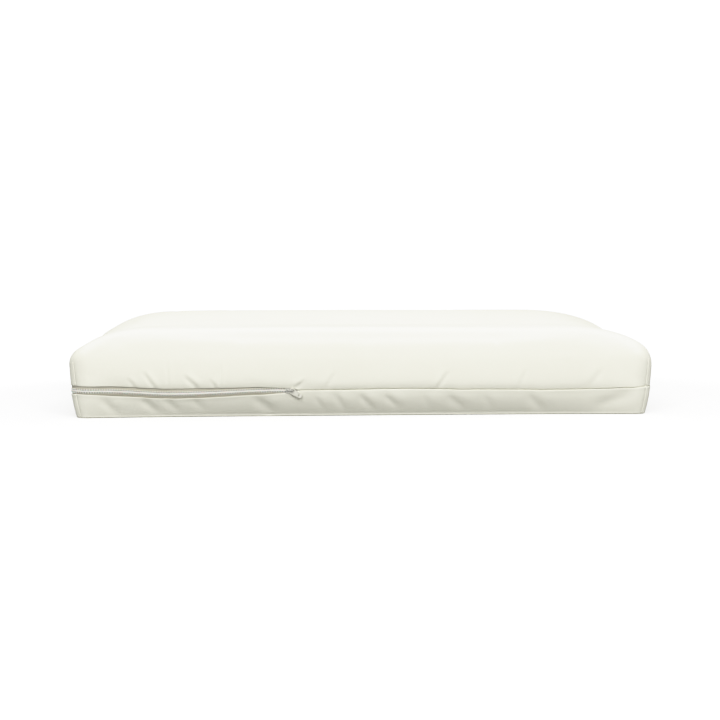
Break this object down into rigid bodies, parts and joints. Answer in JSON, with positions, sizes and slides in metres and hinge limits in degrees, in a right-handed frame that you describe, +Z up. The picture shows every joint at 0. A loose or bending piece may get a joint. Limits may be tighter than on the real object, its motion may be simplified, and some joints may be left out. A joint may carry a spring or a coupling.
{
  "type": "changing pad",
  "caption": "Contoured changing pad with two raised long sides, a foam core in a waterproof liner, and a fabric cover closed by a zip.",
  "frame": {"origin": "middle of the underside, on the surface that the pad lies on", "axes": "+X along the pad's length, towards the shut end of the zip; +Y away from the front, where the zip's slider is; +Z up"},
  "size_m": [0.8, 0.412, 0.1243],
  "materials": {
    "cover_fabric": "smooth plain-weave cotton, off-white",
    "liner_film": "satin waterproof film",
    "foam": "open-cell polyurethane foam",
    "zip_tape": "woven tape, off-white",
    "zip_teeth": "moulded acetal, off-white",
    "slider_metal": "cream lacquer, worn bright on the bridge",
    "pull_lacquer": "cream lacquer",
    "stop_metal": "cream lacquer"
  },
  "bodies": {
    "pad": {"cover_top": "cover_fabric", "cover_bottom": "cover_fabric", "liner_top": "liner_film", "liner_bottom": "liner_film", "foam_core": "foam", "zip_tape_upper": "zip_tape", "zip_tape_lower": "zip_tape", "zip_teeth_upper": "zip_teeth", "zip_teeth_lower": "zip_teeth", "top_stop_upper": "stop_metal", "top_stop_lower": "stop_metal", "bottom_stop": "stop_metal"},
    "slider": {"slider_body": "slider_metal"},
    "pull": {"pull_tab": "pull_lacquer"}
  },
  "joints": [
    {"name": "slider_travel", "type": "slide", "parent": "pad", "child": "slider", "axis": [-1, 0, 0], "range_m": [0, 0.26], "deforming": ["zip_tape_upper", "zip_tape_lower", "zip_teeth_upper", "zip_teeth_lower"]},
    {"name": "pull_tab_flip", "type": "hinge", "parent": "slider", "child": "pull", "pos_m": [-0.098, -0.2029, 0.0374], "axis": [-0.5, 0, -0.866], "range_deg": [0, 150]}
  ]
}
